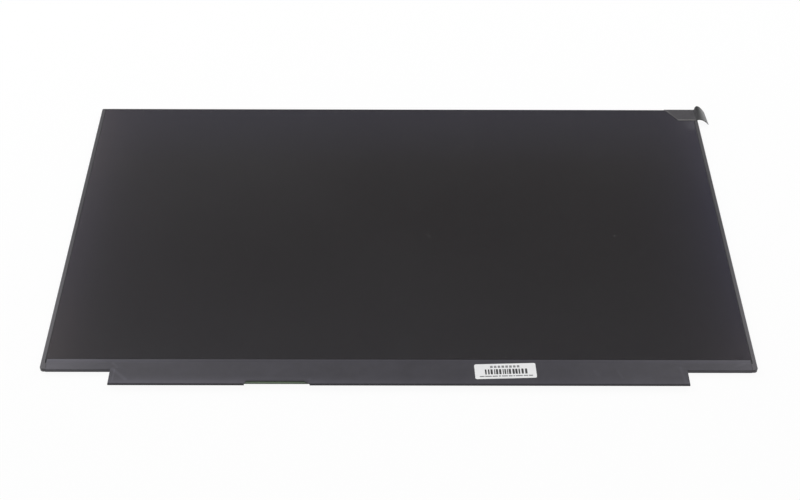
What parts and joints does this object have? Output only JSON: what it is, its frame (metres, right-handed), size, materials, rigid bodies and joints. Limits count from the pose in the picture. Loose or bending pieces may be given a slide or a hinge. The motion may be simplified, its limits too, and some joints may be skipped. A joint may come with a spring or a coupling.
{
  "type": "laptop screen panel",
  "caption": "Slim bracketless screen panel for a laptop: a glass cell over an edge-lit backlight in a frame and metal tray, with a taped control board and cable socket.",
  "frame": {"origin": "middle of the body's outline on its rear plane, the board's tab left out", "axes": "+X along the screen to the right, +Y up the picture, +Z out of the screen"},
  "size_m": [0.3571, 0.2155, 0.0051],
  "materials": {
    "cover_steel": "rolled zinc-coated sheet",
    "frame_plastic": "fine moulded texture",
    "reflector_film": "white reflective film",
    "guide_acrylic": "clear acrylic",
    "diffuser_film": "frosted film",
    "prism_film": "finely ribbed clear film",
    "flex_circuit": "white coated flexible circuit",
    "lamp_body": "white case with a yellow phosphor face",
    "rim_tape_black": "black adhesive tape",
    "polariser_film": "dark anti-glare film",
    "cell_glass": "thin display glass",
    "clear_film": "clear protective film",
    "tab_film": "smoky translucent tape",
    "board_green": "solder mask over laminate",
    "driver_film": "amber polyimide",
    "chip_black": "moulded epoxy",
    "inductor_ferrite": "dark ferrite",
    "capacitor_ceramic": "tan ceramic",
    "socket_plastic": "moulded liquid-crystal polymer",
    "socket_metal": "tin plated sheet",
    "contact_gold": "gold plated",
    "tape_black": "matt black tape",
    "label_paper": "white coated paper"
  },
  "bodies": {
    "root": {"rear_cover": "cover_steel", "mould_frame": "frame_plastic", "reflector_sheet": "reflector_film", "light_guide_plate": "guide_acrylic", "diffuser_sheet": "diffuser_film", "lower_prism_sheet": "prism_film", "upper_prism_sheet": "prism_film", "led_flex": "flex_circuit", "led_packages": "lamp_body", "rim_tape": "rim_tape_black", "rear_polariser": "polariser_film", "array_glass": "cell_glass", "colour_filter_glass": "cell_glass", "front_polariser": "polariser_film", "protective_film": "clear_film", "pull_tab": "tab_film", "control_board": "board_green", "driver_films": "driver_film", "driver_chips": "chip_black", "timing_controller": "chip_black", "power_chip": "chip_black", "lamp_driver_chip": "chip_black", "memory_chip": "chip_black", "board_inductors": "inductor_ferrite", "board_capacitors": "capacitor_ceramic", "connector_housing": "socket_plastic", "connector_shell": "socket_metal", "connector_contacts": "contact_gold", "board_cover_tape": "tape_black", "front_label": "label_paper"}
  },
  "joints": []
}
